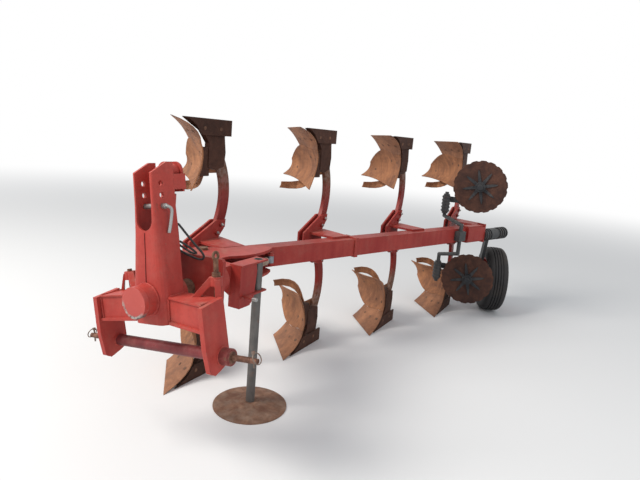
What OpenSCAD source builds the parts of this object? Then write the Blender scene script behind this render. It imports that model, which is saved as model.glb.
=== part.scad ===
// Mounted four-furrow reversible mouldboard plough, parked on its lower bodies, its stand and its depth wheel.
// Millimetres. X points forward, Y to the left, Z up. The ground is Z = 0 and the origin is the middle of the
// plan outline. Everything is drawn in the plough's own frame, whose zero is the tip of the lower front body.

/* [Bodies] */
// Spacing of the bodies along the beam
body_pitch = 950; // [900:10:1000]
// Furrow width that the beam is set to
furrow_w = 305; // [290:5:320]
// Height from a lower tip to the upper tip above it
tip_h = 1720; // [1690:10:1740]
// Thickness of a mouldboard
board_t = 8; // [6:1:10]
// Thickness of a share at its upper edge
share_t = 9; // [7:1:11]
// Thickness of a landside
landside_t = 12; // [10:1:14]
// Depth of a shank, front to back
shank_w = 80; // [72:2:88]
// Thickness of a shank, side to side
shank_t = 30; // [26:1:34]

/* [Beam] */
// Height of the beam tube
beam_h = 130; // [120:2:136]
// Width of the beam tube
beam_w = 115; // [105:5:120]
// Wall of the beam tube
beam_wall = 8; // [6:1:12]

/* [Headstock] */
// Distance between the shoulders of the two lower link pins
pin_span = 825; // [815:5:835]
// Diameter of a lower link pin
pin_d = 28; // [25:1:32]
// Diameter of a top link hole
link_hole_d = 25.8; // [22:0.2:28]
// Height of the tower above the turnover axis
tower_h = 632; // [624:2:636]
// Roll of the headstock against the frame, its left side high
head_roll = 8.9; // [7:0.1:10]
// Diameter of the turnover bearing housing
boss_d = 150; // [144:1:156]

/* [Wheel and discs] */
// Diameter of the depth wheel's tyre
wheel_d = 670; // [650:5:680]
// Width of the depth wheel's tyre
wheel_w = 200; // [180:5:205]
// Diameter of a disc coulter
disc_d = 500; // [480:5:510]

/* [Stand] */
// Diameter of the stand tube
stand_d = 54; // [50:1:56]
// Diameter of the stand foot
foot_d = 455; // [420:5:480]

/* [Hidden] */

body_n = 4;
beam_angle = asin(furrow_w / body_pitch);
mid_z = tip_h / 2;
fit = 0.3;

// The beam frame: x forward along the beam from body 1's tip, y to its near side, z from the mid-plane
near_y = 135;
beam_y = near_y - beam_w / 2;
beam_front = -160;
flange_x = -1479;
beam_rear = -3290;

// The turnover axis runs along X through this point
axis_y = 426;

// Wheel place and tyre section: [radius, half width] from the tread's middle to the bead
wheel_at = [-3420, 1270, wheel_d / 2];
wheel_turn = 25;
tyre_r = wheel_d / 2;
tyre_hw = wheel_w / 2;
tyre_profile = [
    [tyre_r, tyre_hw * 0.35], [tyre_r - 6, tyre_hw * 0.72], [tyre_r - 26, tyre_hw * 0.94], [tyre_r - 62, tyre_hw],
    [tyre_r - 104, tyre_hw * 0.92], [tyre_r - 122 + fit, tyre_hw * 0.80]
];

// The plan outline runs from the housing cap to the tyre and from the front mouldboard's end to the tyre
boss_front = 609;
x_rear = wheel_at[0] - max([for (p = tyre_profile) p[0] * cos(wheel_turn) + p[1] * sin(wheel_turn)]);
y_left = wheel_at[1] + max([for (p = tyre_profile) p[0] * sin(wheel_turn) + p[1] * cos(wheel_turn)]);
y_right = -500;
x_mid = (boss_front + x_rear) / 2;
y_mid = (y_left + y_right) / 2;

// Frames
module plough() translate([-x_mid, -y_mid, 0]) children();
module on_beam() translate([0, 0, mid_z]) rotate([0, 0, -beam_angle]) children();
module on_head() translate([0, axis_y, mid_z]) rotate([head_roll, 0, 0]) children();
module at_body(i) translate([-cos(beam_angle) * body_pitch * i, sin(beam_angle) * body_pitch * i, 0]) children();
module lower_row() for (i = [0:body_n - 1]) at_body(i) children();
module upper_row() for (i = [0:body_n - 1]) at_body(i) translate([0, 0, tip_h]) mirror([0, 0, 1]) children();
module both_sides() {
    children();
    mirror([0, 1, 0]) children();
}

// A plate drawn as [x, z] points and extruded to the left from y
module side_plate(points, y, t) translate([0, y + t, 0]) rotate([90, 0, 0]) linear_extrude(t) polygon(points);
// A round bar along X, Y or from one point to another
module bar_x(x0, x1, d) translate([min(x0, x1), 0, 0]) rotate([0, 90, 0]) cylinder(d = d, h = abs(x1 - x0), $fn = 64);
module bar_y(y0, y1, d) translate([0, max(y0, y1), 0]) rotate([90, 0, 0]) cylinder(d = d, h = abs(y1 - y0), $fn = 64);
module rod(a, b, d) {
    v = b - a;
    translate(a) rotate([0, acos(v[2] / norm(v)), atan2(v[1], v[0])]) cylinder(d = d, h = norm(v), $fn = 40);
}
// Round bar through a row of points with ball corners
module bent_bar(points, d) {
    for (i = [0:len(points) - 2]) rod(points[i], points[i + 1], d);
    for (i = [1:len(points) - 2]) translate(points[i]) sphere(d = d + 1, $fn = 40);
}

// Curved sheets: a grid of front points, and the same grid moved back by a thickness
function across3(v) = [2 * (v - 0.5) * (v - 1), -4 * v * (v - 1), 2 * v * (v - 0.5)];
function along4(u) = [
    -4.5 * (u - 1 / 3) * (u - 2 / 3) * (u - 1), 13.5 * u * (u - 2 / 3) * (u - 1),
    -13.5 * u * (u - 1 / 3) * (u - 1), 4.5 * u * (u - 1 / 3) * (u - 2 / 3)
];
function at4(rows, u, v) = along4(u) * [for (r = rows) across3(v) * r];
function at3(rows, u, v) = across3(u) * [for (r = rows) across3(v) * r];
function step(a, b, k, n) = a + (b - a) * k / n;
function grid_normal(g, i, j) = let (
        du = g[min(i + 1, len(g) - 1)][j] - g[max(i - 1, 0)][j],
        dv = g[i][min(j + 1, len(g[0]) - 1)] - g[i][max(j - 1, 0)],
        n = cross(du, dv)
    ) n / norm(n);
function moved_back(g, t0, t1) = [
    for (i = [0:len(g) - 1]) [
        for (j = [0:len(g[0]) - 1]) g[i][j] + grid_normal(g, i, j) * step(t0, t1, j, len(g[0]) - 1)
    ]
];
module sheet(front, back) {
    nu = len(front);
    nv = len(front[0]);
    n = nu * nv;
    points = [for (g = [front, back]) for (r = g) for (p = r) p];
    cells = [for (i = [0:nu - 2]) for (j = [0:nv - 2])
        [i * nv + j, (i + 1) * nv + j, (i + 1) * nv + j + 1, i * nv + j + 1]];
    rim = concat(
        [for (i = [0:nu - 2]) [(i + 1) * nv, i * nv]],
        [for (i = [0:nu - 2]) [i * nv + nv - 1, (i + 1) * nv + nv - 1]],
        [for (j = [0:nv - 2]) [j, j + 1]],
        [for (j = [0:nv - 2]) [(nu - 1) * nv + j + 1, (nu - 1) * nv + j]]
    );
    faces = concat(
        [for (c = cells) each [[c[0], c[1], c[2]], [c[0], c[2], c[3]]]],
        [for (c = cells) each [[c[2] + n, c[1] + n, c[0] + n], [c[3] + n, c[2] + n, c[0] + n]]],
        [for (e = rim) each [[e[0], e[1], e[1] + n], [e[0], e[1] + n, e[0] + n]]]
    );
    polyhedron(points, faces);
}
// Skin over rings of equal count, lowest first, each running anticlockwise seen from above
module loft(rings) {
    n = len(rings[0]);
    m = len(rings);
    faces = concat(
        [[for (i = [0:n - 1]) i]],
        [[for (i = [0:n - 1]) m * n - 1 - i]],
        [for (k = [0:m - 2]) for (i = [0:n - 1]) let (a = k * n + i, b = k * n + (i + 1) % n)
            each [[a, a + n, b + n], [a, b + n, b]]]
    );
    polyhedron([for (r = rings) for (p = r) p], faces);
}

// Mouldboard from shin to wing, each row [low, belly, top], each point [x, y, z] from the body's tip
board_rows = [
    [[-262, 0, 155], [-275, 0, 270], [-188, 0, 440]],
    [[-345, -130, 141], [-395, -100, 285], [-335, -130, 425]],
    [[-422, -250, 134], [-490, -230, 280], [-458, -285, 395]],
    [[-560, -400, 250], [-600, -430, 320], [-600, -500, 385]]
];
// Share from landside to wing, each row [cutting edge, middle, upper edge]; its top follows the mouldboard
share_rows = [
    [[-10, 0, 3.2], [-197, 0, 64], [-260, 0, 150]],
    [[-189, -169, 6], [-275, -150, 62], [-343, -128, 131]],
    [[-368, -338, 10], [-404, -300, 56], [-419, -252, 121]]
];
// Trash board from its arm to its free end, rows as for the mouldboard
trash_rows = [
    [[-405, -84, 300], [-404, -84, 325], [-402, -84, 345]],
    [[-442, -150, 352], [-444, -150, 387], [-440, -150, 420]],
    [[-478, -245, 408], [-482, -247, 442], [-474, -250, 474]],
    [[-370, -359, 430], [-374, -364, 454], [-364, -370, 478]]
];
board_nu = 12;
board_nv = 8;
function board_part(u0, u1, v0, v1, nu, nv) =
    [for (i = [0:nu]) [for (j = [0:nv]) at4(board_rows, step(u0, u1, i, nu), step(v0, v1, j, nv))]];
function share_top(u) = at4(board_rows, u * 2 / 3, 0) + [1.2, 0, -1.6];
function share_at(u, v) = at3(share_rows, u, v) + v * v * (share_top(u) - at3(share_rows, u, 1));

module mouldboard() {
    g = board_part(0, 1, 0, 1, board_nu, board_nv);
    sheet(g, moved_back(g, board_t, board_t));
}
module share() {
    g = [for (i = [0:8]) [for (j = [0:6]) share_at(i / 8, j / 6)]];
    sheet(g, moved_back(g, 3, share_t));
}
module trash_board() {
    g = [for (i = [0:8]) [for (j = [0:2]) at4(trash_rows, i / 8, j / 2)]];
    sheet(g, moved_back(g, 6, 6));
    translate([-545, -shank_y - shank_t / 2 - 10, 298]) cube([142, 10, 50]);
}
module landside() side_plate([[-112, 2], [-557, 2], [-557, 104], [-288, 104], [-264, 90], [-224, 44], [-167, 14]],
    -landside_t, landside_t);

// Shank: an arc bowed to the rear, between the frog and the beam's bracket
shank_y = 64;
shank_c = [-145, 490];
shank_r = 435;
shank_low = 180;
leg_top = mid_z - beam_h / 2 - 16;
module shank() intersection() {
    translate([shank_c[0], shank_t / 2 - shank_y, shank_c[1]]) rotate([90, 0, 0])
        rotate([0, 0, 130]) rotate_extrude(angle = 100, $fn = 160) translate([shank_r - shank_w / 2, 0])
            square([shank_w, shank_t]);
    translate([-760, -200, shank_low]) cube([600, 300, leg_top - shank_low]);
}
// Frog: the plate beside the shank's foot, with seats that reach the back of the mouldboard and of the share
frog_y = shank_t / 2 - shank_y;
module frog() {
    side_plate([[-150, 4], [-520, 4], [-530, 60], [-505, 110], [-520, 210], [-508, 300], [-430, 322], [-358, 300],
        [-358, 150], [-292, 76], [-215, 38]], frog_y, -landside_t - frog_y);
    back = moved_back(board_part(0, 1, 0, 1, board_nu, board_nv), board_t + 2 * fit, board_t + 2 * fit);
    seat = [for (i = [1:3]) [for (j = [1:6]) back[i][j]]];
    sheet(seat, [for (i = [0:2]) [for (p = seat[i]) [-372, -18 - 12 * i, p[2]]]]);
    g = board_part(0.7, 0.8, 0.38, 0.5, 1, 1);
    rod([-490, frog_y + 4, 142], g[0][0] + (board_t + 11) * grid_normal(g, 0, 0), 17);
}

// Leg brackets: plates over and under the beam, with two cheeks that hold both shanks of a body
plate_t = 16;
plate_z = beam_h / 2;
cheek_t = 14;
cheek_outline = [[-510, -81], [-575, -150], [-580, -200], [-480, -200], [-440, -180], [-235, -84],
    [-235, 84], [-440, 180], [-480, 200], [-580, 200], [-575, 150], [-510, 81]];
// Bolts of a shank: [x, height above the mid-plane]
leg_bolts = [[-488, 118], [-530, 170]];
module leg_bracket() translate([0, 0, mid_z]) {
    for (z = [plate_z, -plate_z - plate_t]) translate([0, 0, z]) linear_extrude(plate_t)
        rotate(-beam_angle) polygon([[-500, -268], [-283, -194], [-313, -43], [-342, 75], [-505, 75]]);
    for (y = [-shank_y - shank_t / 2 - cheek_t, -shank_y + shank_t / 2]) side_plate(cheek_outline, y, cheek_t);
    nuts = [-shank_y - shank_t / 2 - cheek_t - 12, -shank_y + shank_t / 2 + cheek_t];
    for (b = leg_bolts) for (s = [-1, 1]) for (y = nuts)
        translate([b[0], y + 12, s * b[1]]) rotate([90, 0, 0]) cylinder(d = 34, h = 12, $fn = 6);
}

// Beam
module beam_tube(x0, x1) difference() {
    translate([min(x0, x1), near_y - beam_w, -beam_h / 2]) cube([abs(x1 - x0), beam_w, beam_h]);
    translate([min(x0, x1) - 1, near_y - beam_w + beam_wall, -beam_h / 2 + beam_wall])
        cube([abs(x1 - x0) + 2, beam_w - 2 * beam_wall, beam_h - 2 * beam_wall]);
}
flange_t = 18;
module flange(x) translate([x, near_y - beam_w - 10, -beam_h / 2 - 10]) cube([flange_t, beam_w + 20, beam_h + 20]);
pivot_x = -205;
pivot_d = 40;
// Turnbuckle pins: on the stand bracket in plan, on the beam in the beam frame
buckle_a = [-262, 408];
buckle_b = [-640, near_y + 40];
buckle_pin_d = 24;
buckle_eye_r = 25;
lug_t = 12;
lug_gap = 24;

// Headstock numbers, about the turnover axis
shaft_d = 90;
running = 0.1;
housing_rear = 338;
housing_end = 585;
plate_in = pin_span / 2 - 82.5;
end_plate_t = 27;
tower_w = 108;
tower_low = -120;
cross_at = [441, -257];
cross_d = 57;
collar_d = 80;
pin_end = pin_span / 2 + 138;
// Tower sections: [height, front, rear, half width, front corner radius]
tower_rows = [
    [tower_low, 530, 400, tower_w, 48],
    [0, 530, 400, tower_w, 48],
    [300, 507, 375, 84, 36],
    [430, 498, 362, 66, 12],
    [tower_h, 490, 357, 63.5, 10]
];
function tower_rear(z) = step(tower_rows[3][2], tower_rows[4][2], z - tower_rows[3][0], tower_h - tower_rows[3][0]);
tower_wall = 12;
cheek_gap = 97;
slot_b = 366;
link_holes = [534, 479, 428];
link_x = 443;

// Cylinder: plane, top pin height and crank radius; its top pin and crank pin as [y, z]
cyl_x = 312;
cyl_top_b = tower_h - 42;
crank_r = 120;
cyl_top = [axis_y - cyl_top_b * sin(head_roll), mid_z + cyl_top_b * cos(head_roll)];
crank_at = [axis_y - crank_r, mid_z];
cyl_len = norm(crank_at - cyl_top);
cyl_tilt = asin((crank_at[0] - cyl_top[0]) / cyl_len);
cyl_pin_d = 30;
crank_pin_d = 36;
barrel_end = cyl_top_b - crank_r - 50;
bracket_low = tower_h - 144;
piston_z = -275;
module on_cylinder() translate([cyl_x, cyl_top[0], cyl_top[1]]) rotate([cyl_tilt, 0, 0]) children();

// Half of the cross beam: it leaves the tower's side at wing_top and drops outwards; y' from the tower, z' from its top
wing_top = 10;
wing_drop = 3.5;
wing_h = 128;
wing_rear = 388;
wing_l = plate_in - tower_w;
module on_wing() translate([0, tower_w, wing_top]) rotate([-wing_drop, 0, 0]) children();
function wing_plan(t, e) = let (g = 30 / wing_l) [[497 - t - g * e, -e], [527 - t + g * e, wing_l + e],
    [wing_rear + t, wing_l + e], [wing_rear + t, -e]];
module cross_beam() color("firebrick") plough() on_head() both_sides() intersection() {
    translate([300, tower_w, -300]) cube([400, wing_l, 400]);
    on_wing() {
        difference() {
            translate([0, 0, -wing_h]) linear_extrude(wing_h) polygon(wing_plan(0, 20));
            translate([0, 0, 10 - wing_h]) linear_extrude(wing_h - 20) polygon(wing_plan(10, 30));
        }
        for (lip = [[-wing_h, 14, 12], [-8, 8, 6]]) translate([0, 0, lip[0]]) linear_extrude(lip[1])
            polygon([wing_plan(1, 20)[0], wing_plan(1, 20)[1], wing_plan(-lip[2], 20)[1], wing_plan(-lip[2], 20)[0]]);
    }
}
module end_plates() color("firebrick") plough() on_head() both_sides() difference() {
    side_plate([[552, -10], [410, 8], [396, -240], [402, -292], [440, -310], [500, -330], [530, -312], [548, -200]],
        plate_in, end_plate_t);
    translate([cross_at[0], 0, cross_at[1]]) bar_y(plate_in - 5, plate_in + end_plate_t + 5, cross_d + 2 * fit);
}
function arc(c, r, a0, a1, n) = [for (k = [0:n]) c + r * [cos(step(a0, a1, k, n)), sin(step(a0, a1, k, n))]];
function tower_ring(row, t, rear) = let (
        r = max(row[4] - t, 3),
        w = row[3] - (row[0] > 400 ? row[3] - cheek_gap / 2 : t) * (t > 0 ? 1 : 0),
        xf = row[1] - t,
        plan = concat([[row[2] - rear, -w]], arc([xf - r, r - w], r, -90, 0, 5), arc([xf - r, w - r], r, 0, 90, 5),
            [[row[2] - rear, w]])
    ) [for (p = plan) [p[0], p[1], row[0] + (t > 0 ? (row[0] < -100 ? -1 : row[0] > 600 ? 1 : 0) : 0)]];
module tower() color("firebrick") plough() on_head() difference() {
    union() {
        difference() {
            loft([for (r = tower_rows) tower_ring(r, 0, 0)]);
            loft([for (r = tower_rows) tower_ring(r, tower_wall, 60)]);
            translate([400, 0, slot_b]) bar_x(0, 160, cheek_gap);
            translate([400, -cheek_gap / 2, slot_b]) cube([160, cheek_gap, 300]);
        }
        translate([401, -98, tower_low]) cube([14, 196, 230]);
    }
    bar_x(300, 620, boss_d + 2 * fit);
    for (b = link_holes) translate([link_x, 0, b]) bar_y(-120, 120, link_hole_d);
    translate([494, -120, tower_h - 49]) rotate([0, 26.3, 0]) translate([-112, 0, 0]) cube([180, 240, 90]);
}
module bearing_housing() color("firebrick") plough() on_head() difference() {
    bar_x(housing_rear, housing_end, boss_d);
    bar_x(housing_rear - 5, housing_end + 5, shaft_d + running);
}
module housing_cap() color("firebrick") plough() on_head() bar_x(housing_end, boss_front, boss_d);
module cross_shaft() color("brown") plough() on_head() translate([cross_at[0], 0, cross_at[1]])
    bar_y(-plate_in - end_plate_t, plate_in + end_plate_t, cross_d);
linch_y = pin_end - 22;
module link_pins() color("sienna") plough() on_head() both_sides() difference() {
    translate([cross_at[0], 0, cross_at[1]]) {
        bar_y(plate_in + end_plate_t, pin_span / 2 - 6, collar_d);
        bar_y(pin_span / 2 - 7, pin_span / 2, 62);
        bar_y(pin_span / 2 - 2, pin_span / 2 + 101, pin_d);
        bar_y(pin_span / 2 + 99, pin_end, pin_d - 3);
    }
    translate([cross_at[0], linch_y, cross_at[1] - 50]) cylinder(d = 9, h = 100, $fn = 32);
}
// Linch pin: its ring leans outwards, past the end of the link pin
module linch_pin() translate([cross_at[0], linch_y, cross_at[1]]) {
    translate([0, 0, -32]) cylinder(d = 8.4, h = 66, $fn = 32);
    translate([0, 0, 30]) cylinder(d = 16, h = 12, $fn = 32);
    translate([0, 18.75, 12.5]) rotate([-65.4, 0, 0]) rotate_extrude($fn = 48) translate([26, 0]) circle(d = 5, $fn = 20);
}
module linch_pin_left() color("peru") plough() on_head() linch_pin();
module linch_pin_right() color("peru") plough() on_head() mirror([0, 1, 0]) linch_pin();
module top_link_pin() color("silver") plough() on_head() {
    translate([link_x, 0, link_holes[2]]) bar_y(-86, 86, link_hole_d - 0.6);
    tube([[link_x, 78, link_holes[2]], [link_x, 93, link_holes[2]], [link_x - 16, 103, link_holes[2] - 18],
        [link_x - 10, 99, link_holes[2] - 70], [link_x + 4, 95, link_holes[2] - 125]], 16, 12);
}
// Tilt spindles behind the cross beam, [x, y'] on each half of it; the near one is screwed out, the far one in
spindle_at = [370, 285 - tower_w];
spindle_d = 24;
module spindle_brackets() color("firebrick") plough() on_head() both_sides() on_wing()
    translate([spindle_at[0], spindle_at[1], 0]) difference() {
        union() {
            rotate([0, 0, -57]) side_plate([[112, 0], [32, 91], [16, 91], [16, 53], [31, 46], [76, 0]], -14, 28);
            rotate([0, 0, 50]) side_plate([[52, 0], [31, 82], [16, 89], [16, 53], [31, 46], [38, 0]], -14, 28);
            translate([0, 0, 50]) cylinder(d = 56, h = 42, $fn = 48);
        }
        translate([0, 0, -5]) cylinder(d = spindle_d + 2 * fit, h = 200, $fn = 48);
    }
module tilt_spindles() color("silver") plough() on_head() {
    on_wing() translate([spindle_at[0], spindle_at[1], 0]) {
        translate([0, 0, -70]) cylinder(d = spindle_d, h = 246, $fn = 48);
        translate([0, 0, 92 + fit]) cylinder(d = 40, h = 20, $fn = 6);
        translate([0, 0, 190]) rotate([90, 0, 0]) rotate_extrude($fn = 48) translate([17, 0])
            circle(d = 14, $fn = 24);
    }
    mirror([0, 1, 0]) on_wing() translate([spindle_at[0], spindle_at[1], -142])
        cylinder(d = spindle_d, h = 246, $fn = 48);
}
module cylinder_bracket() color("firebrick") plough() on_head() {
    for (x = [cyl_x - 39, cyl_x + 26]) translate([x, 0, 0]) {
        translate([0, 0, cyl_top_b]) bar_x(0, 13, 92);
        translate([0, -46, bracket_low]) cube([13, 92, cyl_top_b - bracket_low]);
    }
    low = tower_h - 132;
    top = tower_h - 57;
    both_sides() side_plate([[cyl_x - 39, low], [tower_rear(low), low], [tower_rear(top), top],
        [cyl_x - 39, top]], 45, 12);
    translate([0, 0, cyl_top_b]) bar_x(cyl_x - 39, cyl_x + 39, cyl_pin_d);
}
hose_d = 11;
// Hose routes about the turnover axis, from the tower's near wall round to the ports of the turnover cylinder
hose_routes = [
    [[370, 73, 336], [365.5, 73, 336], [360, 76, 331], [347, 100, 291], [322, 132, 230], [300, 155, 184], [290, 148, 160],
        [279, 108, 152], [282, 40, 172], [306, -5, 205], [312, -40.6, 215]],
    [[377.6, 82, 253], [373, 82, 253], [367, 84, 250], [347, 102, 229], [318, 121, 198], [306, 116, 186], [302, 80, 190], [304, 20, 220],
        [310, -6, 240], [312, -34.2, 245]]
];
function smooth(r, n) = [for (i = [0:len(r) - 2]) for (k = [0:n - 1]) let (
        a = r[max(i - 1, 0)], b = r[i], c = r[i + 1], d = r[min(i + 2, len(r) - 1)], t = k / n
    ) b + ((c - a) * t + (2 * a - 5 * b + 4 * c - d) * t * t + (3 * b - a - 3 * c + d) * t * t * t) / 2];
function unit(v) = v / norm(v);
function across(t) = unit(cross(t, abs(t[0]) > 0.9 ? [0, 0, 1] : [1, 0, 0]));
module tube(route, d, sides) {
    line = concat(smooth(route, 4), [route[len(route) - 1]]);
    m = len(line);
    loft([for (i = [0:m - 1]) let (
            t = unit(line[min(i + 1, m - 1)] - line[max(i - 1, 0)]), u = across(t), w = cross(t, u)
        ) [for (k = [0:sides - 1]) line[i] + d / 2 * (u * cos(360 * k / sides) + w * sin(360 * k / sides))]]);
}
module hoses() color("black") plough() on_head() for (r = hose_routes) tube(r, hose_d, 10);

module cylinder_barrel() color("firebrick") plough() on_cylinder() difference() {
    union() {
        bar_x(-23, 23, 70);
        translate([0, 0, -116]) cylinder(d = 46, h = 96, $fn = 64);
        translate([0, 0, -barrel_end]) cylinder(d = 72, h = barrel_end - 112, $fn = 72);
    }
    translate([0, 0, 0]) bar_x(-40, 40, cyl_pin_d + running);
    translate([0, 0, 24 - barrel_end]) cylinder(d = 60, h = barrel_end - 24 - 128, $fn = 72);
    translate([0, 0, -barrel_end - 5]) cylinder(d = 40 + running, h = 40, $fn = 64);
}
// Rod with its piston, its eye and the pin that reaches forward out of the crank plate
module cylinder_rod() color("silver") plough() on_cylinder() {
    translate([0, 0, -cyl_len + 20]) cylinder(d = 40, h = cyl_len - 20 + piston_z + 28, $fn = 64);
    translate([0, 0, piston_z]) cylinder(d = 59.6, h = 28, $fn = 64);
    translate([0, 0, -cyl_len]) bar_x(-23, 23, 68);
    translate([0, 0, -cyl_len]) bar_x(head_front + crank_t + 5 - cyl_x, 30, crank_pin_d);
}

// Turning frame
head_rear = 20;
head_front = 235;
crank_t = 22;
member = [-90, 45, 150, 446];
module turning_shaft() color("dimgray") plough() translate([0, axis_y, mid_z])
    bar_x(head_front, housing_end - 10, shaft_d);
module turning_head() color("firebrick") plough() {
    translate([0, axis_y, mid_z]) bar_x(head_rear, head_front, 150);
    translate([member[0], member[2], mid_z - plate_z]) cube([member[1] - member[0], member[3] - member[2], beam_h]);
}
module turnover_crank() color("firebrick") plough() translate([head_front, axis_y, mid_z])
    rotate([90, 0, 90]) linear_extrude(crank_t) difference() {
        polygon(concat(arc([-crank_r, 0], 38, 90, 270, 24), [[-100, -100], [-60, -148], [110, -152], [190, -120],
            [213, -70], [217, 172], [205, 184], [-88, 172], [-100, 160]]));
        circle(d = shaft_d + 2 * fit, $fn = 96);
        translate([-crank_r, 0]) circle(d = crank_pin_d + 1, $fn = 64);
    }
module pivot_plates() color("firebrick") plough() for (z = [plate_z, -plate_z - plate_t])
    translate([0, 0, mid_z + z]) linear_extrude(plate_t) difference() {
        polygon([[18, 120], [18, 350], [-88, 350], [-150, 352], [-185, 372], [-239, 400], [-320, 419], [-403, 421],
            [-475, 409], [-540, 385], [-574, 284], [-297, 190], [-228, 110], [-190, 70], [-130, 60], [-40, 90]]);
        rotate(-beam_angle) translate([pivot_x, beam_y]) circle(d = pivot_d + 2 * fit, $fn = 64);
    }
module pivot_pin() color("dimgray") plough() on_beam() translate([pivot_x, beam_y, 0]) {
    translate([0, 0, -plate_z - plate_t - 14]) cylinder(d = pivot_d, h = 2 * (plate_z + plate_t + 14), $fn = 64);
    translate([0, 0, plate_z + plate_t]) cylinder(d = 62, h = 14, $fn = 6);
    translate([0, 0, -plate_z - plate_t - 14]) cylinder(d = 62, h = 14, $fn = 6);
}
stand_at = [-250, 493];
module stand_bracket() color("firebrick") plough() {
    translate([0, 0, mid_z]) difference() {
        union() {
            side_plate([[14, -60], [14, 65], [-325, 65], [-325, -65], [-150, -120], [-57, -120]], member[3], 8);
            translate([-57, member[3], -175]) cube([12, 74, 240]);
            side_plate([[-45, -175], [-45, 65], [-190, 65], [-200, 20], [-178, -140], [-140, -175]], member[3] + 66, 12);
            for (z = [65, -118]) translate([-292, member[3], z]) cube([247, 86, 10]);
        }
        translate([stand_at[0], stand_at[1], -160]) cylinder(d = stand_d + 1, h = 300, $fn = 72);
    }
    translate([-80, 0, mid_z - 108]) bar_y(member[3] + 70, member[3] + 170, 22);
    for (z = [lug_gap, -lug_gap - lug_t]) translate([0, 0, mid_z + z]) linear_extrude(lug_t) {
        translate(buckle_a) circle(r = buckle_eye_r, $fn = 64);
        translate([buckle_a[0] - 25, buckle_a[1]]) square([50, member[3] + 4 - buckle_a[1]]);
    }
    translate([buckle_a[0], buckle_a[1], mid_z - 44]) cylinder(d = buckle_pin_d, h = 88, $fn = 48);
}
module turnbuckle() color("tan") plough() {
    b = [cos(beam_angle) * buckle_b[0] + sin(beam_angle) * buckle_b[1],
        cos(beam_angle) * buckle_b[1] - sin(beam_angle) * buckle_b[0]];
    a = buckle_a;
    l = norm(b - a);
    difference() {
        translate([a[0], a[1], mid_z]) rotate([0, 0, atan2(b[1] - a[1], b[0] - a[0])]) {
            for (x = [0, l]) translate([x, 0, 1 - lug_gap]) cylinder(r = buckle_eye_r - 1, h = 2 * lug_gap - 2, $fn = 64);
            bar_x(10, l - 10, 28);
            bar_x(62, l - 62, 52);
        }
        for (p = [a, b]) translate([p[0], p[1], mid_z - 60]) cylinder(d = buckle_pin_d + 2 * fit, h = 120, $fn = 48);
    }
}
module front_beam() color("firebrick") plough() on_beam() {
    difference() {
        beam_tube(beam_front, flange_x + flange_t);
        translate([pivot_x, beam_y, -100]) cylinder(d = pivot_d + 2 * fit, h = 200, $fn = 64);
    }
    flange(flange_x);
    for (z = [lug_gap, -lug_gap - lug_t]) translate([0, 0, z]) linear_extrude(lug_t) {
        translate(buckle_b) circle(r = buckle_eye_r, $fn = 64);
        translate([buckle_b[0] - 45, near_y]) square([90, 22]);
        translate([buckle_b[0] - 25, near_y]) square([50, 40]);
    }
    translate([buckle_b[0], buckle_b[1], -44]) cylinder(d = buckle_pin_d, h = 88, $fn = 48);
}
module rear_beam() color("firebrick") plough() on_beam() {
    beam_tube(flange_x - flange_t, -2990);
    flange(flange_x - flange_t);
}
module leg_brackets() color("firebrick") plough() lower_row() leg_bracket();
module shanks_lower() color("firebrick") plough() lower_row() shank();
module shanks_upper() color("firebrick") plough() upper_row() shank();
module frogs_lower() color("saddlebrown") plough() lower_row() frog();
module frogs_upper() color("saddlebrown") plough() upper_row() frog();
module landsides_lower() color("saddlebrown") plough() lower_row() landside();
module landsides_upper() color("saddlebrown") plough() upper_row() landside();
module shares_lower() color("peru") plough() lower_row() share();
module shares_upper() color("peru") plough() upper_row() share();
module mouldboards_lower() color("sienna") plough() lower_row() mouldboard();
module mouldboards_upper() color("sienna") plough() upper_row() mouldboard();
module trash_boards_lower() color("peru") plough() lower_row() trash_board();
module trash_boards_upper() color("peru") plough() upper_row() trash_board();

// Coulters: the holder's bar, and for each disc [stem foot height, sleeve height, disc height]
stem_at = [-2875, 835];
clamp_x = -2850;
clamp_at = [cos(beam_angle) * clamp_x + sin(beam_angle) * (near_y + 30),
    cos(beam_angle) * (near_y + 30) - sin(beam_angle) * clamp_x];
stem_d = 36;
coulter_turn = 102;
arm_len = 300;
disc_y = -33;
sleeve_h = 160;
low_c = [330, 365, 403];
up_c = [1235, 1040, 1317];
module coulter_holder() color("dimgray") plough() {
    lower = [for (z = [low_c[0], 610]) [stem_at[0], stem_at[1], z]];
    upper = [for (z = [1000, up_c[0]]) [stem_at[0], stem_at[1], z]];
    side = [for (z = [690, 962]) [clamp_at[0], clamp_at[1], z]];
    bent_bar(concat(lower, side, upper), stem_d);
    for (z = [low_c[1] - 15.5, low_c[1] + sleeve_h + 0.5, up_c[1] - 15.5, up_c[1] + sleeve_h + 0.5])
        translate([stem_at[0], stem_at[1], z]) cylinder(d = 58, h = 15, $fn = 64);
    on_beam() translate([clamp_x - 50, near_y, -45]) cube([100, 58, 90]);
}
module at_coulter() translate([stem_at[0], stem_at[1], 0]) rotate([0, 0, coulter_turn]) children();
module coulter_arm(c) color("dimgray") plough() at_coulter() {
    sleeve_z = c[1];
    difference() {
        union() {
            translate([0, 0, sleeve_z]) cylinder(d = 72, h = sleeve_h, $fn = 72);
            for (k = [0:4]) translate([0, 0, sleeve_z + 8 + k * 33]) cylinder(d = 84, h = 12, $fn = 72);
            side_plate([[0, sleeve_z + 95], [0, sleeve_z + 150], [130, sleeve_z + 150], [arm_len, c[2] + 38],
                [arm_len + 38, c[2]], [arm_len, c[2] - 38], [140, sleeve_z + 95]], 30, 16);
            translate([arm_len, 0, c[2]]) bar_y(disc_y - 30, 46, 40);
        }
        translate([0, 0, sleeve_z - 5]) cylinder(d = stem_d + running, h = sleeve_h + 10, $fn = 64);
    }
}
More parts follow.
